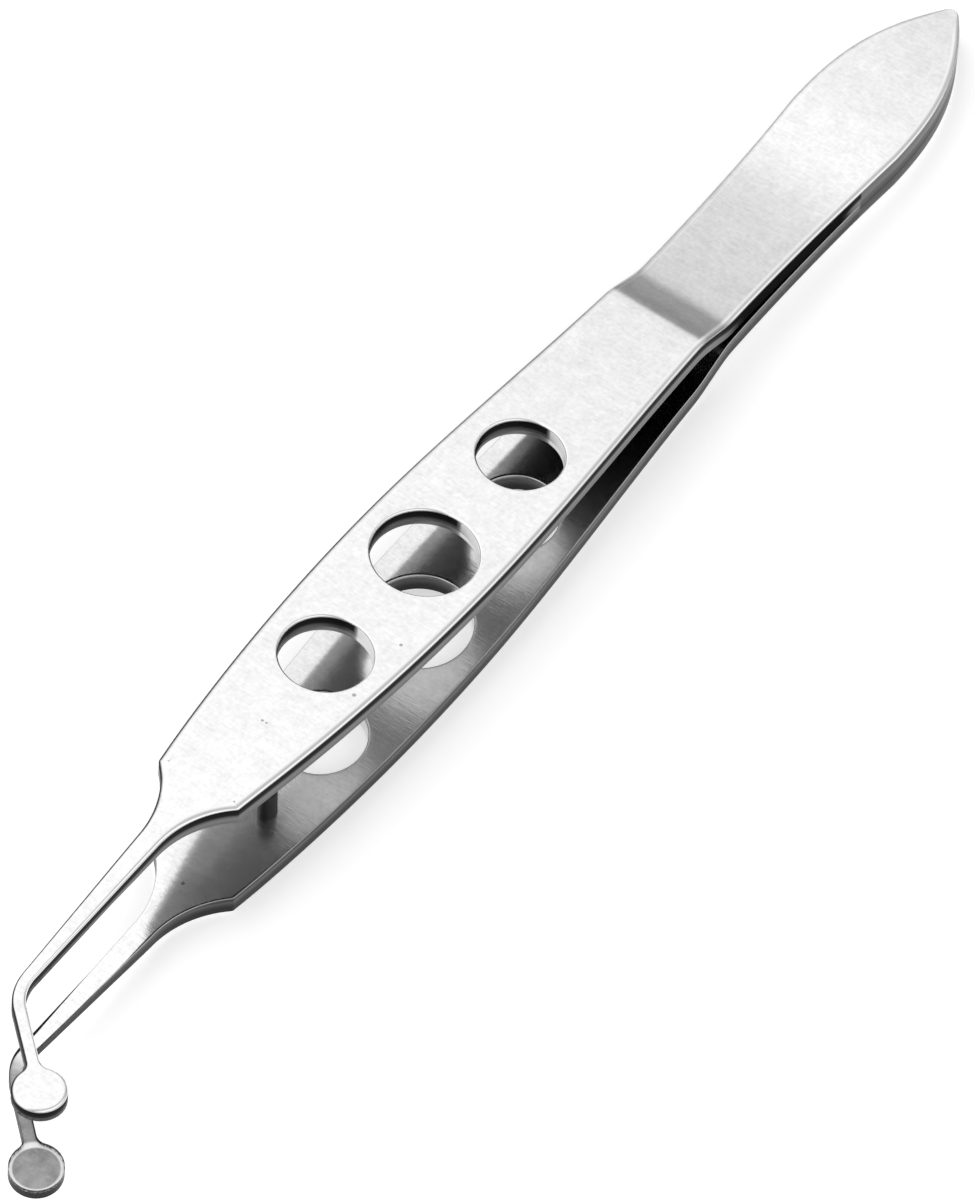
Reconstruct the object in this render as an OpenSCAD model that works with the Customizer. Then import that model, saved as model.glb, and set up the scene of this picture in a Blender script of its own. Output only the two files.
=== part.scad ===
// Meibomian gland forceps: two spring arms welded at the butt, three grip holes in each,
// a slender neck that turns aside, and a round disc at each tip.
// Lengths are millimetres. The pieces are first placed along X from the butt end, with the
// two arms mirrored about z = 0, and then laid down on the lower arm's grip.

/* [Strip] */
// Thickness of one arm along the spring blade and the butt
blade_t = 1.4; // [1.1:0.05:1.6]
// Thickness of one arm along the grip
grip_t = 1.46; // [1.2:0.02:1.7]
// Thickness at the front of the neck, just behind the tip
neck_t = 0.8; // [0.7:0.05:1.1]
// Width of the polished bevel along the outer face
edge_w = 0.36; // [0.15:0.01:0.5]
// Depth of the polished bevel along the outer face
edge_d = 0.1; // [0.05:0.01:0.25]
// Size of the small bevel along the inner face
inner_edge = 0.06; // [0.04:0.01:0.2]

/* [Butt] */
// Greatest width of the leaf-shaped butt
butt_w = 7.94; // [7:0.02:9]
// Distance from the butt end to its widest place
butt_x = 12; // [10:0.1:14]
// Width left at the very end of the butt
butt_end_w = 0.66; // [0.5:0.02:1.2]
// Fullness of the leaf's curve
butt_curve = 2.6; // [2.1:0.05:3]
// Length over which the two arms are welded together
weld_l = 15.5; // [13:0.1:17]

/* [Spring blade] */
// Least width of the blade, just behind the jog
waist_w = 6.9; // [6:0.05:7.6]
// Distance from the butt end to the least width
waist_x = 27.5; // [25:0.1:28.5]
// Gap between the two blades where the jog begins
blade_gap = 0.8; // [0.76:0.01:1.1]
// Distance from the butt end to the place about which each arm flexes
flex_x = 22.5; // [22:0.1:24]
// Radius about the flexing axis on which arm and butt are divided
flex_r = 1.2; // [0.9:0.05:1.6]
// Running clearance between arm and butt at the flexing place
flex_gap = 0.04; // [0.02:0.01:0.08]

/* [Jog] */
// Distance from the butt end to the start of the outward jog
jog_x = 29.2; // [28.6:0.1:30]
// Length of the jog
jog_l = 3; // [2.6:0.1:4]
// Height of the jog
jog_h = 1.12; // [0.9:0.01:1.7]
// Half the length over which each of the jog's corners is rounded
jog_soft = 0.7; // [0.3:0.05:1.2]

/* [Grip] */
// Greatest width of the grip
grip_w = 9.38; // [8.4:0.02:10.4]
// Distance from the butt end to the widest place of the grip
grip_x = 56.6; // [53:0.1:59]
// Angle at which each grip leans outwards from the middle plane
grip_lean = 3; // [2.6:0.05:3.4]
// Distance from the butt end to the shoulder corner
shoulder_x = 79.5; // [78:0.1:81]
// Width across the two shoulder corners
shoulder_w = 5.94; // [5:0.02:6.6]

/* [Grip holes] */
// Diameter of the rear hole
rear_hole_d = 5.48; // [4.6:0.02:6.2]
// Diameter of the middle hole
middle_hole_d = 6.68; // [5.6:0.02:7.4]
// Diameter of the front hole
front_hole_d = 5.82; // [4.6:0.02:6.2]
// Distance from the butt end to the rear hole
rear_hole_x = 46.55; // [45.5:0.05:47.5]
// Distance from the butt end to the middle hole
middle_hole_x = 56.5; // [55.5:0.05:57.5]
// Distance from the butt end to the front hole
front_hole_x = 66.65; // [66:0.05:68]
// Size of the bevel round each hole on the outer face
hole_bevel = 0.16; // [0.1:0.01:0.35]

/* [Neck] */
// Width of the neck where it leaves the shoulder
neck_w = 1.46; // [1.2:0.02:1.8]
// Radius of the hollow between shoulder and neck
neck_r = 7; // [5.5:0.1:8]
// Angle at which each neck leans back towards the middle plane
neck_lean = 4.1; // [3.6:0.05:4.6]
// Distance from the butt end to the turn from grip to neck, seen from the side
turn_x = 81; // [80:0.1:82]
// Half the length over which that turn is rounded
turn_soft = 5; // [3:0.5:6]

/* [Tip] */
// Distance from the butt end to the corner where the tip turns aside
tip_x = 97.6; // [96:0.1:100]
// Angle of the tip to the long axis
tip_angle = 48; // [40:1:55]
// Bend radius of the tip along its middle line
tip_r = 3; // [2:0.1:4]
// Distance from the tip's corner to the middle of the disc
tip_reach = 7.4; // [6.6:0.05:8.5]
// Width of the tip between the turn and the disc
tip_w = 0.84; // [0.7:0.02:1.1]
// Diameter of the disc
disc_d = 3.38; // [2.8:0.02:4]
// Thickness of the disc
disc_t = 0.8; // [0.6:0.05:0.9]
// Radius of the hollow between tip and disc
disc_fillet = 0.8; // [0.5:0.05:1.4]
// Bevel round the disc
disc_bevel = 0.26; // [0.12:0.01:0.4]

/* [Stop post] */
// Diameter of the post on the lower arm's inner face
post_d = 1.3; // [1:0.05:1.6]
// Height of the post above the inner face
post_h = 2.3; // [1.5:0.05:2.35]
// Depth to which the post is let into the arm
post_seat = 0.7; // [0.4:0.05:0.9]
// Radial clearance of the post in its seat
post_gap = 0.01; // [0.01:0.01:0.03]
// Distance from the butt end to the post
post_x = 73.2; // [72:0.1:75]
// Offset of the post from the long axis, to the side that the tips turn to
post_y = 0.8; // [0:0.1:1]
// Bevel round the top of the post
post_bevel = 0.15; // [0.05:0.01:0.25]

/* [Hidden] */
$fn = 96;
over = 1;
steel = [0.83, 0.84, 0.85];
satin = [0.78, 0.79, 0.8];
post_steel = [0.45, 0.46, 0.47];

// Slopes of the outer face, as seen from the side.
blade_slope = blade_gap / 2 / (jog_x - weld_l);
jog_slope = jog_h / jog_l;
grip_slope = tan(grip_lean);
neck_slope = -tan(neck_lean);
tip_soft = 1;
tip_z = blade_t + blade_gap / 2 + jog_h + (turn_x - jog_x - jog_l) * grip_slope
    + (tip_x - turn_x) * neck_slope;
// The discs lie at such a slope that they meet face to face when both arms have closed.
disc_slope = (tip_z - disc_t) / (tip_x - flex_x);

// A run that starts to rise at x0, with its corner rounded over r to either side.
function run(x, x0, r) = x <= x0 - r ? 0 : x >= x0 + r ? x - x0 : pow(x - x0 + r, 2) / (4 * r);
function ease(t) = t * t * (3 - 2 * t);
function mix(a, b, t) = a + (b - a) * t;
function between(x, x0, x1) = min(1, max(0, (x - x0) / (x1 - x0)));

// Height of the upper arm's outer face above the middle plane.
function outer_z(x) = blade_t
    + blade_slope * run(x, weld_l, 0)
    + (jog_slope - blade_slope) * run(x, jog_x, jog_soft)
    + (grip_slope - jog_slope) * run(x, jog_x + jog_l, jog_soft)
    + (neck_slope - grip_slope) * run(x, turn_x, turn_soft)
    + (disc_slope - neck_slope) * run(x, tip_x, tip_soft);

// Thickness of the arm: blade, grip, neck and disc, with long tapers between.
neck_end_x = tip_x - 3 * tip_soft;
function thickness(x) = x < shoulder_x
    ? mix(blade_t, grip_t, ease(between(x, jog_x, jog_x + 2 * jog_l)))
    : x < neck_end_x
    ? mix(grip_t, neck_t, between(x, shoulder_x, neck_end_x))
    : mix(neck_t, disc_t, between(x, neck_end_x, tip_x - tip_soft));
function inner_z(x) = outer_z(x) - thickness(x);

// Half width of the arm, seen from above.
neck_drop = (shoulder_w - neck_w) / 2;
neck_x = shoulder_x + sqrt(neck_r * neck_r - pow(neck_r - neck_drop, 2));
bend_l = tip_r * tan(tip_angle / 2);
bend_x = tip_x - bend_l;
function butt_half(x) = butt_w / 2
    - (butt_w - butt_end_w) / 2 * pow((butt_x - x) / butt_x, butt_curve);
function neck_hollow(x) = neck_w / 2 + neck_r - sqrt(neck_r * neck_r - pow(neck_x - x, 2));
function arm_half(x) = x < butt_x ? butt_half(x)
    : x < waist_x ? mix(waist_w, butt_w, pow(1 - between(x, butt_x, waist_x), 2)) / 2
    : x < grip_x ? mix(waist_w, grip_w, ease(between(x, waist_x, grip_x))) / 2
    : x < shoulder_x ? mix(grip_w, shoulder_w, pow(between(x, grip_x, shoulder_x), 2)) / 2
    : x < neck_x ? neck_hollow(x)
    : mix(neck_w, tip_w, between(x, neck_x, bend_x)) / 2;

// The middle line runs straight to the bend, round it, and straight on to the disc.
bend_arc = tip_r * tip_angle * PI / 180;
disc_s = bend_x + bend_arc + tip_reach - bend_l;
disc_r = disc_d / 2;
fillet_back = sqrt(pow(disc_r + disc_fillet, 2) - pow(tip_w / 2 + disc_fillet, 2));
fillet_meet = fillet_back * disc_r / (disc_r + disc_fillet);
function turned(s) = tip_angle * between(s, bend_x, bend_x + bend_arc);
function line_at(s) = let (a = turned(s), on = max(0, s - bend_x - bend_arc))
    [min(s, bend_x) + tip_r * sin(a) + on * cos(a), tip_r * (1 - cos(a)) + on * sin(a)];
function tip_half(back) = back >= fillet_back ? tip_w / 2
    : back > fillet_meet
    ? tip_w / 2 + disc_fillet - sqrt(pow(disc_fillet, 2) - pow(fillet_back - back, 2))
    : sqrt(max(0, disc_r * disc_r - back * back));
function half_at(s) = s < bend_x ? arm_half(s) : tip_half(disc_s - s);

// Half width of a face whose bevel is w wide: over the disc the bevel runs round it.
function face_half(s, w) = let (back = disc_s - s, half = half_at(s))
    back < fillet_meet
    ? max(0.02, sqrt(max(0, pow(disc_r - disc_bevel, 2) - back * back)))
    : half - min(w, 0.38 * half);
// How far a face has dropped over the bevel at the disc's or the butt's end.
function end_drop(s, d) = d * max(0, 1 - s / edge_w, (s - disc_s - disc_r + disc_bevel) / disc_bevel);

// A point of the arm: u across, h up from the middle plane.
function arm_point(s, u, h) = let (p = line_at(s), a = turned(s), x = p[0] - u * sin(a))
    [x, p[1] + u * cos(a), h];
function face_x(s, u) = line_at(s)[0] - u * sin(turned(s));

// Eight points round one section of the upper arm.
function arm_section(s) = let (
    half = max(0.04, half_at(s)),
    top = face_half(s, edge_w),
    low = face_half(s, inner_edge),
    top_drop = end_drop(s, edge_d),
    low_drop = end_drop(s, inner_edge),
    side_d = min(edge_d, 0.25 * thickness(s)))
    [
        for (q = [
            [-top, 1, top_drop], [top, 1, top_drop],
            [half, 1, side_d], [half, 0, inner_edge],
            [low, 0, low_drop], [-low, 0, low_drop],
            [-half, 0, inner_edge], [-half, 1, side_d]
        ])
        let (x = face_x(s, q[0]))
        arm_point(s, q[0], q[1] == 1 ? outer_z(x) - q[2] : inner_z(x) + q[2])
    ];
// The same round the welded butt, which is two arms thick.
function butt_section(x) = let (
    half = arm_half(x),
    top = half - min(edge_w, 0.38 * half),
    face = outer_z(x) - end_drop(x, 0.8 * edge_d),
    side = outer_z(x) - edge_d)
    [
        [x, -top, face], [x, top, face], [x, half, side], [x, half, -side],
        [x, top, -face], [x, -top, -face], [x, -half, -side], [x, -half, side]
    ];

// Skin over a row of eight-point sections.
module skin(sections) {
    n = len(sections[0]);
    last = len(sections) - 1;
    polyhedron(
        points = [for (row = sections, p = row) p],
        faces = [
            [for (i = [n - 1:-1:0]) i],
            [for (i = [0:n - 1]) last * n + i],
            for (k = [0:last - 1], i = [0:n - 1])
                let (j = (i + 1) % n, a = k * n + i, b = k * n + j)
                [a, b, b + n],
            for (k = [0:last - 1], i = [0:n - 1])
                let (j = (i + 1) % n, a = k * n + i, b = k * n + j)
                [a, b + n, a + n]
        ]
    );
}

function steps(from, to, count) = [for (i = [0:count - 1]) mix(from, to, i / count)];
butt_steps = concat(
    [0, edge_w],
    [for (i = [1:9]) edge_w + (butt_x - edge_w) * pow(i / 10, 1.5)],
    steps(butt_x, weld_l, 2),
    steps(weld_l, flex_x, 4),
    [flex_x, flex_x + 2 * flex_r]
);
arm_steps = concat(
    steps(flex_x + flex_r / 2, jog_x - jog_soft, 4),
    steps(jog_x - jog_soft, jog_x + jog_l + jog_soft, 11),
    steps(jog_x + jog_l + jog_soft, turn_x - turn_soft, 14),
    steps(turn_x - turn_soft, shoulder_x, 3),
    steps(shoulder_x, neck_x, 9),
    steps(neck_x, neck_end_x, 4),
    steps(neck_end_x, bend_x, 2),
    steps(bend_x, bend_x + bend_arc, 8),
    steps(bend_x + bend_arc, disc_s - fillet_back, 4),
    steps(disc_s - fillet_back, disc_s - fillet_meet, 5),
    [for (i = [0:17]) disc_s - fillet_meet * cos(i * 5)],
    [for (a = [0:9:81]) disc_s + disc_r * sin(a)],
    [disc_s + disc_r * sin(86)]
);

module across(x, z, r) translate([x, 0, z]) rotate([90, 0, 0]) cylinder(r = r, h = butt_w + 2 * over, center = true);

flex_z = outer_z(flex_x) - blade_t / 2;

// One hole through an arm, square to its grip face, with a bevel on the outer face.
module grip_hole(x, d) translate([x, 0, outer_z(x)]) rotate([0, -grip_lean, 0]) {
    translate([0, 0, -grip_t - over]) cylinder(d = d, h = grip_t + 2 * over);
    translate([0, 0, -hole_bevel]) cylinder(d1 = d, d2 = d + 4 * hole_bevel, h = 2 * hole_bevel);
}

// The welded ends of both arms, with the roots of the two spring blades.
module butt_shape() difference() {
    skin([for (x = butt_steps) butt_section(x)]);
    // Narrow wedge between the two blades.
    rotate([90, 0, 0])
        linear_extrude(height = butt_w + 2 * over, center = true)
            polygon([
                [weld_l, 0],
                [flex_x + 4 * flex_r, inner_z(flex_x + 4 * flex_r)],
                [flex_x + 4 * flex_r, -inner_z(flex_x + 4 * flex_r)]
            ]);
    for (side = [0, 1])
        mirror([0, 0, side])
            difference() {
                translate([flex_x, -butt_w, 0]) cube([3 * flex_r, 2 * butt_w, 2 * blade_t + blade_gap]);
                across(flex_x, flex_z, flex_r);
            }
}

// One arm, from the flexing place to its disc.
module arm_shape() difference() {
    skin([for (s = arm_steps) arm_section(s)]);
    across(flex_x, flex_z, flex_r + flex_gap);
    grip_hole(rear_hole_x, rear_hole_d);
    grip_hole(middle_hole_x, middle_hole_d);
    grip_hole(front_hole_x, front_hole_d);
}

// Place of the post, standing square on the lower arm's inner face.
post_z = -inner_z(post_x);
module at_post() translate([post_x, post_y, post_z]) rotate([0, grip_lean, 0]) children();

// The forceps lie on the lower arm's grip: its face is at z = 0, and the origin is on that
// face, midway between the front and the middle hole.
lie_x = (middle_hole_x + front_hole_x) / 2;
module laid() rotate([0, -grip_lean, 0]) translate([-lie_x, 0, outer_z(lie_x)]) children();

module butt() color(satin) laid() butt_shape();

module upper_arm() color(steel) laid() arm_shape();

module lower_arm() color(steel) laid() difference() {
    mirror([0, 0, 1]) arm_shape();
    at_post() translate([0, 0, -post_seat]) cylinder(d = post_d + 2 * post_gap, h = post_seat + over);
}

module stop_post() color(post_steel) laid() at_post() translate([0, 0, -post_seat]) {
    cylinder(d = post_d, h = post_seat + post_h - post_bevel);
    translate([0, 0, post_seat + post_h - post_bevel])
        cylinder(d1 = post_d, d2 = post_d - 2 * post_bevel, h = post_bevel);
}

butt();
upper_arm();
lower_arm();
stop_post();
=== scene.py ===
"""Looks of the meibomian gland forceps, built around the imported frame.

Every shape is laid out in millimetres along X from the butt end, with the two arms
mirrored about z = 0, as in the part's own source. Each finished mesh is then laid down
on the lower arm's grip and turned into metres. Left is towards +Y, as seen from the butt.
"""

from math import acos, atan2, cos, degrees, hypot, pi, radians, sin, sqrt, tan

import bmesh
import bpy
from mathutils import Matrix, Vector
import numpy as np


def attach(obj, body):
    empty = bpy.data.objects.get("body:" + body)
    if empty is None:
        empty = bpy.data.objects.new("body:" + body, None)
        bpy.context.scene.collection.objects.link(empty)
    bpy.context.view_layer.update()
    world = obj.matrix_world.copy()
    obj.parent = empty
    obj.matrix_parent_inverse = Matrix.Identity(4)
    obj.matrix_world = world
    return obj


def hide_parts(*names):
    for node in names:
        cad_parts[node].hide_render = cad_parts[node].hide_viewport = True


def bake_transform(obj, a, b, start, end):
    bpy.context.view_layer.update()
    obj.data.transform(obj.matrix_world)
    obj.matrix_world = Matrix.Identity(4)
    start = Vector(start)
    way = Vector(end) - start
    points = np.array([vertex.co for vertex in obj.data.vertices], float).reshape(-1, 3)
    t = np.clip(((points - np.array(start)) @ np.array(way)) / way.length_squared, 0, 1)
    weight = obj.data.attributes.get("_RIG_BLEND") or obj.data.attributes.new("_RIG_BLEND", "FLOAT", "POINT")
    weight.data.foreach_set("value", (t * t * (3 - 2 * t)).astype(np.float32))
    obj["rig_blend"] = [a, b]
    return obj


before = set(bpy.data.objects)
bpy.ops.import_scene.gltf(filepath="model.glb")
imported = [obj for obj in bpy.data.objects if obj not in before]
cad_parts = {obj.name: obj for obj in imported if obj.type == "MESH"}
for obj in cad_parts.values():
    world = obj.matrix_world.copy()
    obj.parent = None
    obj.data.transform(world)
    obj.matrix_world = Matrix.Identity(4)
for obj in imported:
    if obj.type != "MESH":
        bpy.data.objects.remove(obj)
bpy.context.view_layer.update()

MM = 0.001

# Picture: its height in pixels, and the viewing angle and distance that fit the forceps to it
PICTURE_HEIGHT = 1200
CAMERA_AZIMUTH = 122.3803
CAMERA_ELEVATION = 53.0989
CAMERA_ROLL = 4.4494
CAMERA_DISTANCE = 924.926
CAMERA_FOCUS = 15247.85
CAMERA_TARGET = (54.4397, 3.397, 0)
SENSOR = 36
CLIP_NEAR = 0.05
CLIP_FAR = 20

# Strip: thickness along the blade, the grip and the neck, and its edges
BLADE_T = 1.4
GRIP_T = 1.46
NECK_T = 0.8
EDGE_W = 0.5
EDGE_D = 0.2
EDGE_STEPS = 9
# Steps from the side wall over which the polish sets in, and steps from the face where it ends
POLISH_START = (1, 3)
POLISH_END = (0, 2)
INNER_EDGE = 0.06
INNER_EDGE_STEPS = 4
# Flat margin beside each rounded edge, which keeps the face's shading flat
HOLD = 0.12
# A bevel takes no more than this share of the strip's half width
BEVEL_SHARE = 0.38

# Butt and spring blade
BUTT_W = 7.94
BUTT_X = 12
BUTT_END_W = 0.66
BUTT_CURVE = 2.6
NOSE_R = 0.687
NOSE_TURN = radians(51)
NOSE_STEPS = 8
# The outline's places on the leaf lie closer together towards the nose
LEAF_STEPS = 24
LEAF_CROWDING = 1.3
WELD_L = 15.5
WELD_SOFT = 1.5
WAIST_W = 6.9
WAIST_X = 27.5
BLADE_GAP = 0.8
FLEX_X = 22.5
FLEX_END = 29.5

# Jog and grip
JOG_X = 29.2
JOG_L = 3
JOG_H = 1.12
JOG_SOFT = 0.7
GRIP_W = 9.38
GRIP_X = 56.6
GRIP_LEAN = radians(3)
SHOULDER_X = 79.5
SHOULDER_W = 5.94
# Extra places along the outline at the shoulder's corner, measured from it
SHOULDER_PLACES = (-0.15, -0.05, 0.05, 0.15)
SHOULDER_END = 0.35
HOLES = ((46.55, 5.48), (56.5, 6.68), (66.65, 5.82))
HOLE_BEVEL = 0.16
HOLE_SIDES = 96
# Points up to this far outside a hole's edge belong to its wall
HOLE_MARGIN = 3 * HOLE_BEVEL

# Neck, tip and disc
NECK_W = 1.46
NECK_R = 7
NECK_LEAN = radians(4.1)
TURN_X = 81
TURN_SOFT = 5
TIP_X = 97.6
TIP_ANGLE = radians(48)
TIP_R = 3
TIP_REACH = 7.4
TIP_W = 0.84
TIP_SOFT = 1
DISC_R = 1.69
DISC_T = 0.8
DISC_FILLET = 0.8
DISC_BEVEL = 0.26
DISC_STEPS = 40

# Stop post
POST_R = 0.65
POST_H = 2.3
POST_SEAT = 0.7
POST_X = 73.2
POST_Y = 0.8
POST_BEVEL = 0.15
POST_BEVEL_STEPS = 4
POST_SIDES = 64

# Height of a plate while it is flat, between its inner and its outer face
PLATE = 10
# Heights below the outer face at which the side wall is divided
WALL_ROWS = (-1, -0.6)
# Longest reach of an outline's corner, as the least cosine of its half turn
CORNER_COS = 0.7
# Distance at which points are taken for one, and length that counts as none
NEAR = 1e-5
TINY = 1e-6
SHARP_ANGLE = radians(35)

# Brightness of the steel, from 0 to 1, with light and shade painted in. The faces have it by the distance
# from the butt end: they grow lighter and darker along the arm as painted light and shade, with a dip of
# painted shade at the jog
OUTER_TONES = (
    (0, 0.74),
    (8, 0.82),
    (14, 0.9),
    (22, 0.67),
    (29, 0.62),
    (30, 0.48),
    (31.9, 0.37),
    (32.3, 0.8),
    (40, 0.83),
    (52, 0.87),
    (66, 0.88),
    (80, 0.915),
)
# The lower arm's inner face grows lighter towards the neck as painted light
LOWER_INNER_TONES = ((44, 0.74), (70, 0.74), (84, 0.87))
# The upper arm's inner face is kept dark as painted shade
UPPER_INNER_SHADE_TONES = ((26, 0.06), (38, 0.12), (45, 0.42), (50, 0.36), (70, 0.34), (78, 0.2))
# Painted shade on the edges that turn right, by the distance from the butt end
EDGE_SHADE_TONES = ((0, 0.6), (30, 0.6), (38, 0.2), (60, 0.05), (80, 0.04))
# The side walls have it by the distance below the outer face: they are kept near black as painted shade
UPPER_WALL_SHADE_TONES = ((0.2, 0.028), (0.6, 0.035), (1, 0.17))
LOWER_WALL_SHADE_TONES = ((0.2, 0.05), (0.6, 0.055), (1, 0.08))
# Its change from the butt's middle plane to its upper face is a share of the wall's brightness: the butt's
# wall is painted shade, painted lighter towards its upper face
BUTT_WALL_SHADE_TONE = 0.089
BUTT_WALL_LIGHT_CHANGE = 0.24
RIM_TONE = 0.9
# The stop post is painted near black as shade between the arms
POST_SHADE_TONE = 0.035

# Inner faces of the tips: where the lower one takes on its brightness, where both take on their finish, and
# the radii between which the painted highlight ring on the lower disc sets in and ends
DISC_INNER_TONE = 0.45
DISC_TONE_FADE = (TIP_X - 2, TIP_X + 1)
DISC_FINISH_FADE = (TIP_X - 1, TIP_X + 0.5)
RING_HIGHLIGHT_TONE = 1
RING_INSIDE = (1.38, 1.52)
RING_OUTSIDE = (1.75, 2)

# Walls in the narrow gap between the two blades are painted darkest, as shade
GAP_SHADE_TONE = 0.01
GAP_FADE = 2

# A painted glint on part of a grip hole's wall, in degrees round the hole from its front
BORE_GLINT_TONE = 0.75
BORE_FROM = (80, 130)
BORE_TO = (172, 178)

# The polished rim, a painted highlight where it is kept, fades out, and the painted shade on the edge sets
# in, as an edge turns to the right
RIM_TURN = (0, 0.15)
EDGE_SHADE_TURN = (0.25, 0.5)

# Where the painted shade makes the steel darker than this, it is drawn as a near-black diffuse that mirrors
# nothing
BLACK_SHADE_TONE = 0.1
BLACK_SHADE_GREY = 0.008

# Brush marks, clouds and grain: how fine they are, in marks per metre, and how much they shade
FINE_MARKS = (9000, 1300, 1300)
COARSE_MARKS = (2600, 420, 420)
CLOUDS = 900
GRAINS = 3600
MARK_DETAIL = 3
GRAIN_DETAIL = 2
FINE_SHADE = 0.22
COARSE_SHADE = 0.18
GRAIN_SHADE = 0.24
CLOUD_SHADE = 0.2
DISC_CLOUD_SHADE = 1.1

# Depth of the brush marks, in metres
OUTER_MARK_DEPTH = 0.000004
INNER_MARK_DEPTH = 0.0000025
LEFT_MARK_DEPTH = 0.000014
COARSE_DEPTH_SHARE = 0.6

# Roughness of the steel
OUTER_ROUGH = 0.34
OUTER_ROUGH_CHANGE = 0.1
INNER_ROUGH = 0.1
LEFT_ROUGH = 0.34
DISC_ROUGH = 0.55
RIM_ROUGH = 0.14
WALL_ROUGH = 0.3
POST_ROUGH = 0.38

# The left part of the inner faces of the grip is ground duller and a little aslant, and its colour is
# darkened there as painted shade
LEFT_Y = (-0.5, 1.5)
LEFT_FADE_IN = 15
LEFT_FADE_OUT = 8
LEFT_DARKER = 0.3
LEFT_DARKER_FADE = 5
INNER_LEAN = 0.065
INNER_LEAN_Y = -1.2
INNER_LEAN_SOFT = 3

# Small pits: distance from the butt end, distance to the left, upper arm's outer face 1 or lower
# arm's inner face -1, radius
PITS = (
    (63.24, 3.12, 1, 0.14),
    (68.16, 3.21, 1, 0.17),
    (73.22, 0.1, 1, 0.12),
    (73.22, 0.4, 1, 0.1),
    (80.43, -0.12, -1, 0.17),
)
PIT_SHADE = 0.55

# Fine turned rings on the stop post
POST_RINGS = (600, 600, 16000)
POST_RING_DEPTH = 0.00001
POST_RING_STRENGTH = 0.2

# Studio
FLOOR_R = 3
FLOOR_SIDES = 96
FLOOR_Z = -0.00002
FLOOR_GREY = 0.86
FLOOR_GLOW = 0.42
SKY_STRENGTH = 1.15
SKY_LOW = 0.2
SKY_LOW_Z = -0.05
SKY_HIGH_Z = 0.62
# A band of the sky is dimmer: it sets in and ends over these parts of the way along Y
DIM_FROM_Y = (-0.2, 0.1)
DIM_TO_Y = (0.25, 0.6)
DIM_SHARE = 0.5


def mix(a, b, t):
    return a + (b - a) * t


def ease(t):
    return t * t * (3 - 2 * t)


def between(x, x0, x1):
    return min(1, max(0, (x - x0) / (x1 - x0)))


def spread(start, end, count):
    """Evenly spaced values from start up to, but not at, end."""
    return [mix(start, end, i / count) for i in range(count)]


def spread_on(*marks):
    """The same from mark to mark, each given with its count of values up to the next."""
    return [x for (start, count), (end, _) in zip(marks, marks[1:]) for x in spread(start, end, count)]


def level_in(table, x):
    """The value at x in a table of (place, value) rows, eased from row to row."""
    for (x0, low), (x1, high) in zip(table, table[1:]):
        if x < x1:
            return mix(low, high, ease(between(x, x0, x1)))
    return table[-1][1]


# Shape of the strip
jog_end_x = JOG_X + JOG_L
blade_slope = BLADE_GAP / 2 / (JOG_X - WELD_L)
jog_slope = JOG_H / JOG_L
grip_slope = tan(GRIP_LEAN)
neck_slope = -tan(NECK_LEAN)
tip_z = (
    BLADE_T
    + BLADE_GAP / 2
    + JOG_H
    + (TURN_X - JOG_X - JOG_L) * grip_slope
    + (TIP_X - TURN_X) * neck_slope
)
# The discs lie flat on each other when both arms have turned about the flexing place
disc_slope = (tip_z - DISC_T) / (TIP_X - FLEX_X)
neck_end_x = TIP_X - 3 * TIP_SOFT
neck_x = SHOULDER_X + sqrt(NECK_R**2 - (NECK_R - (SHOULDER_W - NECK_W) / 2) ** 2)
bend_l = TIP_R * tan(TIP_ANGLE / 2)
bend_x = TIP_X - bend_l
bend_arc = TIP_R * TIP_ANGLE
bend_end = bend_x + bend_arc
disc_s = bend_end + TIP_REACH - bend_l
fillet_back = sqrt((DISC_R + DISC_FILLET) ** 2 - (TIP_W / 2 + DISC_FILLET) ** 2)
fillet_meet = fillet_back * DISC_R / (DISC_R + DISC_FILLET)


def run(x, x0, r):
    """A run that starts to rise at x0, with its corner rounded over r to either side."""
    if x <= x0 - r:
        return 0
    return x - x0 if x >= x0 + r else (x - x0 + r) ** 2 / (4 * r)


def outer_z(x):
    """Height of the upper arm's outer face above the middle plane."""
    return (
        BLADE_T
        + blade_slope * run(x, WELD_L, WELD_SOFT)
        + (jog_slope - blade_slope) * run(x, JOG_X, JOG_SOFT)
        + (grip_slope - jog_slope) * run(x, jog_end_x, JOG_SOFT)
        + (neck_slope - grip_slope) * run(x, TURN_X, TURN_SOFT)
        + (disc_slope - neck_slope) * run(x, TIP_X, TIP_SOFT)
    )


def inner_z(x):
    """Height of the upper arm's inner face: it leaves the middle plane where the weld ends."""
    if x < SHOULDER_X:
        thick = mix(BLADE_T, GRIP_T, ease(between(x, JOG_X, JOG_X + 2 * JOG_L)))
    elif x < neck_end_x:
        thick = mix(GRIP_T, NECK_T, between(x, SHOULDER_X, neck_end_x))
    else:
        thick = mix(NECK_T, DISC_T, between(x, neck_end_x, TIP_X - TIP_SOFT))
    start = BLADE_T + blade_slope * run(x, WELD_L, 0) - thick
    return start if x < WELD_L + WELD_SOFT else outer_z(x) - thick


def arm_half(x):
    """Half width of the strip back from the tip, seen from above."""
    if x < BUTT_X:
        return BUTT_W / 2 - (BUTT_W - BUTT_END_W) / 2 * ((BUTT_X - x) / BUTT_X) ** BUTT_CURVE
    if x < WAIST_X:
        return mix(WAIST_W, BUTT_W, (1 - between(x, BUTT_X, WAIST_X)) ** 2) / 2
    if x < GRIP_X:
        return mix(WAIST_W, GRIP_W, ease(between(x, WAIST_X, GRIP_X))) / 2
    if x < SHOULDER_X:
        return mix(GRIP_W, SHOULDER_W, between(x, GRIP_X, SHOULDER_X) ** 2) / 2
    if x < neck_x:
        return NECK_W / 2 + NECK_R - sqrt(NECK_R**2 - (neck_x - x) ** 2)
    return mix(NECK_W, TIP_W, between(x, neck_x, bend_x)) / 2


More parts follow.
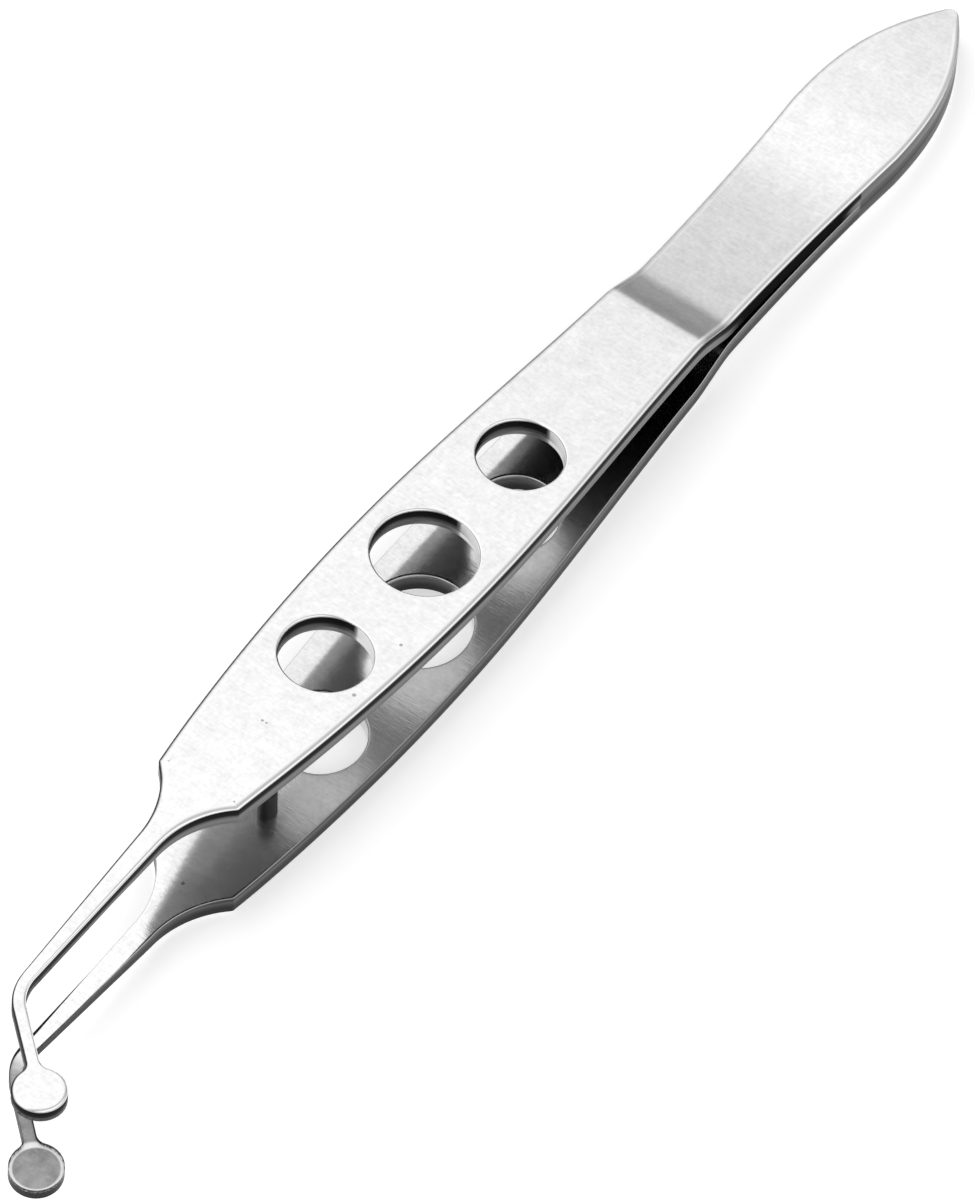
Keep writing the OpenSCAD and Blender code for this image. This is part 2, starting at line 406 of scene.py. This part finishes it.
def nose_half(x):
    """Half width of the butt's very end, which is a round nose."""
    reach = NOSE_R * (1 - cos(NOSE_TURN))
    return sqrt(NOSE_R**2 - (NOSE_R - x) ** 2) if x < reach else arm_half(x)


def half_at(s):
    """Half width at the distance s along the arm's middle line."""
    back = disc_s - s
    if s <= NOSE_R:
        return nose_half(s)
    if s < bend_x:
        return arm_half(s)
    if back >= fillet_back:
        return TIP_W / 2
    if back > fillet_meet:
        return TIP_W / 2 + DISC_FILLET - sqrt(DISC_FILLET**2 - (fillet_back - back) ** 2)
    return sqrt(max(0, DISC_R**2 - back * back))


def across(s, u):
    """The plan point at s along the middle line and u to its left."""
    turned = TIP_ANGLE * between(s, bend_x, bend_end)
    on = max(0, s - bend_x - bend_arc)
    return Vector(
        (
            min(s, bend_x) + TIP_R * sin(turned) + on * cos(turned) - u * sin(turned),
            TIP_R * (1 - cos(turned)) + on * sin(turned) + u * cos(turned),
        )
    )


def bevel_width(s, width):
    """The bevel's width at s: narrower on the thin neck and its own round the disc."""
    narrow = min(width, BEVEL_SHARE * arm_half(min(s, bend_x)))
    disc_width = min(width, DISC_BEVEL)
    return mix(narrow, disc_width, ease(between(s, disc_s - fillet_back, disc_s - fillet_meet)))


def lying_down():
    """Turns the forceps from the mirrored frame onto the lower arm's grip, in millimetres."""
    lie_x = (HOLES[1][0] + HOLES[2][0]) / 2
    return Matrix.Rotation(-GRIP_LEAN, 4, "Y") @ Matrix.Translation((-lie_x, 0, outer_z(lie_x)))


def laid(x, y, z):
    """A point of the forceps, in the frame in which they lie, in metres."""
    return lying_down() @ Vector((x, y, z)) * MM


# Outlines and edges
def arm_stations():
    """Distances along the middle line at which the arm's outline is sampled."""
    corner = [SHOULDER_X + place for place in SHOULDER_PLACES]
    stations = spread(WELD_L, corner[0], 96) + corner
    stations += spread_on(
        (SHOULDER_X + SHOULDER_END, 20),
        (neck_x, 16),
        (bend_x, 16),
        (bend_end, 6),
        (disc_s - fillet_back, 8),
        (disc_s - fillet_meet, 0),
    )
    start = acos(fillet_meet / DISC_R)
    turns = [mix(start, pi, i / DISC_STEPS) for i in range(DISC_STEPS + 1)]
    return stations + [disc_s - DISC_R * cos(turn) for turn in turns]


def arm_cuts():
    """Distances from the butt end at which the flat arm is cut across before it is bent."""
    cuts = spread_on(
        (WELD_L, 4),
        (WELD_L + WELD_SOFT, 6),
        (JOG_X - JOG_SOFT, 14),
        (JOG_X + JOG_SOFT, 4),
        (jog_end_x - JOG_SOFT, 14),
        (jog_end_x + JOG_SOFT, 4),
        (JOG_X + 2 * JOG_L, 10),
        (TURN_X - TURN_SOFT, 20),
        (TURN_X + TURN_SOFT, 5),
        (neck_end_x, 4),
        (TIP_X - TIP_SOFT, 12),
        (TIP_X + TIP_SOFT, 0),
    )
    return cuts[1:]


def butt_stations():
    """Distances from the butt end at which the butt's outline is sampled."""
    nose = [NOSE_R * (1 - cos(NOSE_TURN * i / NOSE_STEPS)) for i in range(NOSE_STEPS + 1)]
    shares = [(i / LEAF_STEPS) ** LEAF_CROWDING for i in range(1, LEAF_STEPS)]
    leaf = [nose[-1] + (BUTT_X - nose[-1]) * share for share in shares]
    return nose + leaf + spread(BUTT_X, WELD_L, 5) + [WELD_L]


def outline(stations, way=1):
    """Rows of (plan point, outward direction, outer bevel, inner bevel) round an outline.

    The stations run along the left edge, and the right edge comes back over the same ones.
    way is -1 where they run towards the butt end.
    """
    there = [(s, half_at(s)) for s in stations]
    closed_end = there[-1][1] < TINY
    back = [(s, -half) for s, half in reversed(there[:-1] if closed_end else there)]
    rows = there + back
    points = [across(s, u) for s, u in rows]
    out = []
    last = len(rows) - 1
    for i, (s, u) in enumerate(rows):
        if i in (0, last):
            normal, reach = Vector((0, 1 if i == 0 else -1)), 1
        else:
            one = (points[i] - points[i - 1]).normalized()
            two = (points[i + 1] - points[i]).normalized()
            tangent = (one + two).normalized()
            normal = Vector((-tangent.y, tangent.x)) * way
            reach = 1 / max(CORNER_COS, tangent.dot(one))
        out.append((points[i], normal * reach, bevel_width(s, EDGE_W), bevel_width(s, INNER_EDGE)))
    return out


def outer_profile(width, depth):
    """(inset, side, height, rim, wall) from the side wall over the rounded edge to the face.

    side is 1 where the height is measured from the outer face, and 0 from the inner one.
    """
    levels = [(0, 1, height, 0, 1) for height in WALL_ROWS]
    for i in range(EDGE_STEPS + 1):
        turn = pi / 2 * i / EDGE_STEPS
        polish = ease(between(i, *POLISH_START))
        rim = polish * ease(between(EDGE_STEPS - i, *POLISH_END))
        levels.append((width * (1 - cos(turn)), 1, -depth * (1 - sin(turn)), rim, 1 - polish))
    return levels + [(width + HOLD, 1, 0, 0, 0)]


def inner_profile(width):
    """The same from the inner face over its small round edge to the side wall."""
    levels = [(width + HOLD, 0, 0, 0, 0)]
    for i in range(INNER_EDGE_STEPS + 1):
        turn = pi / 2 * i / INNER_EDGE_STEPS
        levels.append((width * (1 - sin(turn)), 0, width * (1 - cos(turn)), 0, i / INNER_EDGE_STEPS))
    return levels


# Meshes. Each vertex carries the profile's side, height, rim and wall, and its brightness with painted light
# and shade
LAYERS = ("side", "height", "rim", "wall", "tone")


def new_plate():
    bm = bmesh.new()
    for name in LAYERS:
        bm.verts.layers.float.new(name)
    return bm


def layers_of(bm):
    return [bm.verts.layers.float[name] for name in LAYERS]


def loop_up(bm, count, levels, place):
    """Extrudes a ring of count vertices through the levels, each placed by place(i, level)."""
    side, height, rim, wall, _ = layers_of(bm)

    def settle(verts, level):
        for i, v in enumerate(verts):
            x, y = place(i, level)
            v.co = (x, y, PLATE * level[1] + level[2])
            v[side], v[height], v[rim], v[wall] = level[1:]

    ring = bmesh.ops.create_circle(bm, cap_ends=False, radius=1, segments=count)["verts"]
    settle(ring, levels[0])
    for level in levels[1:]:
        edges = [bm.edges.get((a, b)) for a, b in zip(ring, ring[1:] + ring[:1])]
        made = bmesh.ops.extrude_edge_only(bm, edges=edges)["geom"]
        fresh = {v for v in made if isinstance(v, bmesh.types.BMVert)}
        ring = [next(w for e in v.link_edges for w in [e.other_vert(v)] if w in fresh) for v in ring]
        settle(ring, level)


def close_face(bm, height):
    """Fills the flat face at a height, round any holes in it."""
    edges = [e for e in bm.edges if e.is_boundary and all(abs(v.co.z - height) < TINY for v in e.verts)]
    bmesh.ops.triangle_fill(bm, use_beauty=True, edges=edges, normal=(0, 0, 1))


def cut_at(bm, stations):
    """Cuts the plate across at each station, so that it can be bent there."""
    for x in stations:
        geom = bm.verts[:] + bm.edges[:] + bm.faces[:]
        bmesh.ops.bisect_plane(bm, geom=geom, dist=NEAR, plane_co=(x, 0, 0), plane_no=(1, 0, 0))


def finish_mesh(bm, name):
    """Merges, turns outwards, lays down on the lower grip, and makes the object in metres."""
    bmesh.ops.remove_doubles(bm, verts=bm.verts, dist=NEAR)
    bmesh.ops.recalc_face_normals(bm, faces=bm.faces)
    bm.transform(Matrix.Scale(MM, 4) @ lying_down())
    mesh = bpy.data.meshes.new(name)
    bm.to_mesh(mesh)
    bm.free()
    mesh.shade_smooth()
    mesh.set_sharp_from_angle(angle=SHARP_ANGLE)
    obj = bpy.data.objects.new(name, mesh)
    bpy.context.scene.collection.objects.link(obj)
    return obj


def flat_arm():
    """One arm as a flat plate, with its bevelled edges and its three holes."""
    bm = new_plate()
    rows = outline(arm_stations())

    def on_outline(i, level):
        point, normal, outer, inner = rows[i]
        inset = level[0] * (outer / EDGE_W if level[1] else inner / INNER_EDGE)
        return point - normal * inset

    loop_up(bm, len(rows), inner_profile(INNER_EDGE) + outer_profile(EDGE_W, EDGE_D), on_outline)
    for hole_x, hole_d in HOLES:

        def on_hole(i, level):
            depth = (0 if level[1] else GRIP_T) - level[2]
            turn = 2 * pi * i / HOLE_SIDES
            reach = hole_d / 2 + level[0]
            return hole_x + depth * grip_slope + reach * cos(turn), reach * sin(turn)

        loop_up(bm, HOLE_SIDES, inner_profile(HOLE_BEVEL) + outer_profile(HOLE_BEVEL, HOLE_BEVEL), on_hole)
    close_face(bm, 0)
    close_face(bm, PLATE)
    cut_at(bm, arm_cuts())
    return bm


def bore_turn(co):
    """The angle round the grip hole that a point lies beside, or None."""
    for hole_x, hole_d in HOLES:
        if hypot(co.x - hole_x, co.y) < hole_d / 2 + HOLE_MARGIN:
            return degrees(atan2(co.y, co.x - hole_x))
    return None


def face_tone(x, way, outside):
    """Brightness of a face at x, with painted light and shade: way is 1 for the upper arm and -1 for the
    lower one.
    """
    if outside:
        return level_in(OUTER_TONES, x)
    if way == 1:
        return level_in(UPPER_INNER_SHADE_TONES, x)
    return mix(level_in(LOWER_INNER_TONES, x), DISC_INNER_TONE, ease(between(x, *DISC_TONE_FADE)))


def wall_tone(co, way, depth):
    """Brightness of a side wall or a hole's wall, at a depth below the outer face, painted dark as shade."""
    x = co.x
    tone = level_in(UPPER_WALL_SHADE_TONES if way == 1 else LOWER_WALL_SHADE_TONES, depth)
    if way == 1:
        # Painted shade on the upper arm's walls in the gap between the blades
        gap_shade = ease(between(x, WELD_L, WELD_L + GAP_FADE))
        gap_shade *= ease(between(x, JOG_X + GAP_FADE, JOG_X - GAP_FADE))
        tone = mix(tone, GAP_SHADE_TONE, gap_shade)
    # A painted glint on part of each grip hole's wall
    turn = bore_turn(co)
    if turn is not None:
        lit = ease(between(turn, *BORE_FROM)) * ease(between(turn, BORE_TO[1], BORE_TO[0]))
        tone = mix(tone, BORE_GLINT_TONE, lit)
    return tone


def shade_edges(bm):
    """Keeps the polished rim's bright colour, as a painted highlight, to the edges that turn left, and
    paints shade on those that turn right.

    Round a hole, those that turn to the front keep the painted highlight, and those to the rear get the
    painted shade.
    """
    side, height, rim, wall, tone = layers_of(bm)
    bmesh.ops.recalc_face_normals(bm, faces=bm.faces)
    bm.normal_update()
    for v in bm.verts:
        if not v[side] or v[height] == 0 or v[wall] == 1:
            continue
        away = -v.normal.y if bore_turn(v.co) is None else -v.normal.x
        v[rim] *= 1 - ease(between(away, *RIM_TURN))
        dark = level_in(EDGE_SHADE_TONES, v.co.x)
        v[tone] = mix(v[tone], dark, ease(between(away, *EDGE_SHADE_TURN)))


def make_arm(name, way):
    """Bends a flat arm to its side view: way is 1 for the upper arm and -1 for the lower one."""
    bm = flat_arm()
    side, height, _, wall, tone = layers_of(bm)
    for v in bm.verts:
        outside = v[side] > 0.5
        depth = -v[height] if outside else GRIP_T
        v[tone] = mix(face_tone(v.co.x, way, outside), wall_tone(v.co, way, depth), v[wall])
        v.co.z = way * (mix(inner_z(v.co.x), outer_z(v.co.x), v[side]) + v[height])
    shade_edges(bm)
    return finish_mesh(bm, name)


def make_butt():
    """The welded ends of both strips: a leaf with a round nose, bevelled on both faces."""
    bm = new_plate()
    rows = outline(butt_stations()[::-1], way=-1)
    upper = outer_profile(EDGE_W, EDGE_D)
    under = [(inset, -1, -height, rim, wall) for inset, _, height, rim, wall in reversed(upper)]

    def on_outline(i, level):
        point, normal, outer, _ = rows[i]
        return point - normal * level[0] * outer / EDGE_W

    loop_up(bm, len(rows), under + upper, on_outline)
    close_face(bm, -PLATE)
    close_face(bm, PLATE)
    cut_at(bm, spread(WELD_L - WELD_SOFT, WELD_L, 4))
    side, height, _, wall, tone = layers_of(bm)
    for v in bm.verts:
        # The butt's side wall is painted shade, lighter towards its upper face as painted light
        wall_level = BUTT_WALL_SHADE_TONE * (1 + BUTT_WALL_LIGHT_CHANGE * v[side])
        v[tone] = mix(level_in(OUTER_TONES, v.co.x), wall_level, v[wall])
        v.co.z = outer_z(v.co.x) * v[side] + v[height]
    shade_edges(bm)
    return finish_mesh(bm, "butt_block")


def make_post():
    """The stop post: a turned pin with a bevelled top, standing on the lower inner face."""
    bm = new_plate()
    length = POST_SEAT + POST_H
    bmesh.ops.create_cone(
        bm, cap_ends=True, segments=POST_SIDES, radius1=POST_R, radius2=POST_R, depth=length
    )
    top = [e for e in bm.edges if all(v.co.z > 0 for v in e.verts) and len(e.link_faces) == 2]
    bmesh.ops.bevel(
        bm,
        geom=top,
        offset=POST_BEVEL,
        segments=POST_BEVEL_STEPS,
        profile=0.5,
        affect="EDGES",
        material=-1,
    )
    turn = Matrix.Rotation(GRIP_LEAN, 4, "Y")
    lift = Matrix.Translation((0, 0, (POST_H - POST_SEAT) / 2))
    place = Matrix.Translation((POST_X, POST_Y, -inner_z(POST_X)))
    bm.transform(place @ turn @ lift)
    return finish_mesh(bm, "stop_pin")


# Materials
class Sock:
    """A shader socket that takes part in Python expressions."""

    def __init__(self, nodes, socket):
        self.nodes, self.socket = nodes, socket

    def math(self, operation, *others):
        values = {0: self}
        values.update({i + 1: other for i, other in enumerate(others)})
        return self.nodes.add("Math", values, operation=operation)

    def __add__(self, other):
        return self.math("ADD", other)

    def __sub__(self, other):
        return self.math("SUBTRACT", other)

    def __mul__(self, other):
        return self.math("MULTIPLY", other)

    def __rsub__(self, other):
        return self.nodes.add("Math", {0: other, 1: self}, operation="SUBTRACT")

    __radd__, __rmul__ = __add__, __mul__


class Nodes:
    """The node tree of one material or world."""

    def __init__(self, tree):
        self.tree = tree
        tree.nodes.clear()

    def add(self, kind, values=None, out=0, **settings):
        """Adds a node: its type, then its settings, then its sockets' values or links."""
        node = self.tree.nodes.new("ShaderNode" + kind)
        for name, value in settings.items():
            setattr(node, name, value)
        for key, value in (values or {}).items():
            if isinstance(value, Sock):
                self.tree.links.new(value.socket, node.inputs[key])
            else:
                node.inputs[key].default_value = value
        return Sock(self, node.outputs[out]) if node.outputs else None

    def noise(self, place, scale, detail, stretch=(1, 1, 1)):
        mapped = self.add("Mapping", {"Vector": place, "Scale": stretch})
        return self.add("TexNoise", {"Vector": mapped, "Scale": scale, "Detail": detail}, out="Fac")

    def band(self, value, low, high, to_low=0.0, to_high=1.0):
        """The value eased from to_low at low to to_high at high, and held beyond them."""
        values = {"Value": value, "From Min": low, "From Max": high, "To Min": to_low, "To Max": to_high}
        return self.add("MapRange", values, clamp=True, interpolation_type="SMOOTHSTEP")

    def mix_value(self, factor, a, b):
        return self.add("Mix", {"Factor": factor, "A": a, "B": b}, data_type="FLOAT")

    def least(self, a, b):
        return self.add("Math", {0: a, 1: b}, operation="MINIMUM")

    def part(self, vector, axis):
        return self.add("SeparateXYZ", {"Vector": vector}, out=axis)

    def layer(self, name):
        """One of the values that the meshes' vertices carry."""
        return self.add("Attribute", out="Fac", attribute_name=name)

    def distance(self, place, spot):
        return self.add("VectorMath", {0: place, 1: spot}, out="Value", operation="DISTANCE")

    def grey(self, level):
        return self.add("CombineColor", {"Red": level, "Green": level, "Blue": level})

    def bump(self, strength, distance, height):
        values = {"Strength": strength, "Distance": distance, "Height": height}
        return self.add("Bump", values, out="Normal")

    def steel(self, level, rough, bump):
        values = {"Base Color": self.grey(level), "Metallic": 1.0, "Roughness": rough, "Normal": bump}
        return self.add("BsdfPrincipled", values, out="BSDF")

    def mix_shader(self, factor, a, b):
        return self.add("MixShader", {0: factor, 1: a, 2: b}, out="Shader")


def new_material(name):
    material = bpy.data.materials.new(name)
    material.use_nodes = True
    return material, Nodes(material.node_tree)


def disc_ring_highlight(n, place, inner_tip):
    """The painted highlight ring on the inner face of the lower disc."""
    disc = across(disc_s, 0)
    away = n.distance(place, laid(disc.x, disc.y, -inner_z(disc.x)))
    inside = n.band(away, RING_INSIDE[0] * MM, RING_INSIDE[1] * MM)
    outside = n.band(away, RING_OUTSIDE[1] * MM, RING_OUTSIDE[0] * MM)
    return inside * outside * inner_tip


def pit_marks(n, place):
    """The small pits in the faces, each 1 in its middle."""
    marks = 0
    for x, y, way, reach in PITS:
        spot = laid(x, y, way * (outer_z(x) if way == 1 else inner_z(x)))
        marks = marks + n.band(n.distance(place, spot), reach * MM, reach * MM / 2)
    return marks


def steel_material():
    """Stainless strip: brushed across on its faces, polished along its edges, with light and shade painted
    into its colour.
    """
    material, n = new_material("brushed_steel")
    place = n.add("TexCoord", out="Object")
    along = n.part(place, "X")
    aside = n.part(place, "Y")
    rim = n.layer("rim")
    wall = n.layer("wall")
    outside = n.layer("side")
    inside = 1 - outside
    face = 1 - n.least(rim + wall, 1.0)
    inner_tip = n.band(along, *[laid(x, 0, 0).x for x in DISC_FINISH_FADE]) * inside
    grip_from = laid(JOG_X + 2 * JOG_L, 0, 0).x
    grip_to = laid(SHOULDER_X, 0, 0).x

    fine = n.noise(place, 1, MARK_DETAIL, stretch=FINE_MARKS)
    coarse = n.noise(place, 1, MARK_DETAIL, stretch=COARSE_MARKS)
    clouds = n.noise(place, CLOUDS, MARK_DETAIL)
    grains = n.noise(place, GRAINS, GRAIN_DETAIL)

    left = n.band(aside, LEFT_Y[0] * MM, LEFT_Y[1] * MM)
    left = left * n.band(along, grip_from, grip_from + LEFT_FADE_IN * MM)
    # Painted shade on the left part of the inner faces
    left_shade = left * n.band(along, grip_to + LEFT_DARKER_FADE * MM, grip_to) * inside * LEFT_DARKER
    left = left * n.band(along, grip_to, grip_to - LEFT_FADE_OUT * MM)

    shade = (fine - 0.5) * FINE_SHADE + (coarse - 0.5) * COARSE_SHADE + (grains - 0.5) * GRAIN_SHADE
    shade = shade + (clouds - 0.5) * n.mix_value(inner_tip, CLOUD_SHADE, DISC_CLOUD_SHADE)
    level = n.layer("tone") * (1 - left_shade) * (1 + shade * face)
    level = n.mix_value(disc_ring_highlight(n, place, inner_tip), level, RING_HIGHLIGHT_TONE)
    level = n.mix_value(rim, level, RIM_TONE)
    level = level * (1 - pit_marks(n, place) * PIT_SHADE)

    inner_rough = n.mix_value(inner_tip, n.mix_value(left, INNER_ROUGH, LEFT_ROUGH), DISC_ROUGH)
    outer_rough = OUTER_ROUGH + (coarse - 0.5) * OUTER_ROUGH_CHANGE
    rough = n.mix_value(face, RIM_ROUGH, n.mix_value(outside, inner_rough, outer_rough))
    rough = n.mix_value(wall, rough, WALL_ROUGH)

    depth = n.mix_value(left, INNER_MARK_DEPTH, LEFT_MARK_DEPTH)
    depth = n.mix_value(outside, depth, OUTER_MARK_DEPTH)
    marks = (fine + coarse * COARSE_DEPTH_SHARE) * depth * face
    lean = aside.math("SMOOTH_MIN", INNER_LEAN_Y * MM, INNER_LEAN_SOFT * MM)
    bump = n.bump(1.0, 1.0, marks - lean * INNER_LEAN * inside)

    steel = n.steel(level, rough, bump)
    # The deepest painted shade turns into a near-black diffuse
    black_shade = n.add("BsdfDiffuse", {"Color": (BLACK_SHADE_GREY, BLACK_SHADE_GREY, BLACK_SHADE_GREY, 1)}, out="BSDF")
    n.add("OutputMaterial", {"Surface": n.mix_shader(n.band(level, BLACK_SHADE_TONE, 0), steel, black_shade)})
    return material


def post_material():
    """The stop post: turned steel with fine rings, painted near black as shade between the arms."""
    material, n = new_material("turned_post_steel")
    rings = n.noise(n.add("TexCoord", out="Object"), 1, GRAIN_DETAIL, stretch=POST_RINGS)
    bump = n.bump(POST_RING_STRENGTH, POST_RING_DEPTH, rings)
    n.add("OutputMaterial", {"Surface": n.steel(POST_SHADE_TONE * (rings + 0.5), POST_ROUGH, bump)})
    return material


# Studio
def make_floor():
    """A pale floor that keeps the forceps' shadow, and is nearly white where it is seen or mirrored."""
    bm = bmesh.new()
    bmesh.ops.create_circle(bm, cap_ends=True, radius=FLOOR_R, segments=FLOOR_SIDES)
    mesh = bpy.data.meshes.new("floor")
    bm.to_mesh(mesh)
    bm.free()
    obj = bpy.data.objects.new("floor", mesh)
    bpy.context.scene.collection.objects.link(obj)
    obj.location.z = FLOOR_Z
    material, n = new_material("pale_floor")
    rays = [n.add("LightPath", out=f"Is {kind} Ray") for kind in ("Camera", "Glossy", "Transmission")]
    seen = n.least(rays[0] + rays[1] + rays[2], 1.0)
    plain = n.add("BsdfDiffuse", {"Color": (FLOOR_GREY, FLOOR_GREY, FLOOR_GREY, 1)}, out="BSDF")
    glow = n.add("Emission", {"Color": (1, 1, 1, 1), "Strength": FLOOR_GLOW}, out="Emission")
    nothing = n.add("Emission", {"Color": (0, 0, 0, 1), "Strength": 0.0}, out="Emission")
    both = n.add("AddShader", {0: plain, 1: n.mix_shader(seen, nothing, glow)}, out="Shader")
    n.add("OutputMaterial", {"Surface": both})
    mesh.materials.append(material)


def make_world():
    """A plain soft sky: bright overhead, and dimmer towards the horizon and in one band.

    The camera itself sees it plain white.
    """
    world = bpy.data.worlds.new("studio")
    world.use_nodes = True
    bpy.context.scene.world = world
    n = Nodes(world.node_tree)
    place = n.add("TexCoord", out="Generated")
    height = n.part(place, "Z")
    aside = n.part(place, "Y")
    dim = n.band(aside, *DIM_FROM_Y) * n.band(aside, DIM_TO_Y[1], DIM_TO_Y[0])
    level = n.band(height, SKY_LOW_Z, SKY_HIGH_Z, SKY_LOW, 1.0) * (1 - dim * DIM_SHARE)
    light = n.add("Background", {"Color": n.grey(level), "Strength": SKY_STRENGTH}, out="Background")
    white = n.add("Background", {"Color": (1, 1, 1, 1), "Strength": 1.0}, out="Background")
    seen = n.add("LightPath", out="Is Camera Ray")
    n.add("OutputWorld", {"Surface": n.mix_shader(seen, light, white)})


def make_camera():
    """The picture's viewing angle, found by fitting the model's outline to it."""
    turn, lift, roll = (radians(a) for a in (CAMERA_AZIMUTH, CAMERA_ELEVATION, CAMERA_ROLL))
    back = Vector((sin(turn) * cos(lift), -cos(turn) * cos(lift), sin(lift)))
    level = Vector((cos(turn), sin(turn), 0))
    over = back.cross(level)
    right = level * cos(roll) + over * sin(roll)
    up = over * cos(roll) - level * sin(roll)
    data = bpy.data.cameras.new("camera")
    data.sensor_fit, data.sensor_height, data.sensor_width = "VERTICAL", SENSOR, SENSOR
    data.lens = CAMERA_FOCUS / PICTURE_HEIGHT * SENSOR
    data.clip_start, data.clip_end = CLIP_NEAR, CLIP_FAR
    camera = bpy.data.objects.new("camera", data)
    bpy.context.scene.collection.objects.link(camera)
    place = lying_down() @ Matrix.Translation(Vector(CAMERA_TARGET) + back * CAMERA_DISTANCE)
    place = place @ Matrix((right, up, back)).transposed().to_4x4()
    place.translation *= MM
    camera.matrix_world = place
    bpy.context.scene.camera = camera


make_camera()
make_world()
make_floor()

steel = steel_material()
butt = make_butt()
upper = make_arm("upper_strip", 1)
lower = make_arm("lower_strip", -1)
post = make_post()
for piece in (butt, upper, lower):
    piece.data.materials.append(steel)
post.data.materials.append(post_material())

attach(butt, "butt")
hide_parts("butt")
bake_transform(upper, "butt", "upper_arm", start=laid(WELD_L, 0, 0), end=laid(FLEX_END, 0, 0))
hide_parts("upper_arm")
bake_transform(lower, "butt", "lower_arm", start=laid(WELD_L, 0, 0), end=laid(FLEX_END, 0, 0))
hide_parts("lower_arm")
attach(post, "lower_arm")
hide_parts("stop_post")

bpy.context.scene.view_settings.view_transform = "Standard"
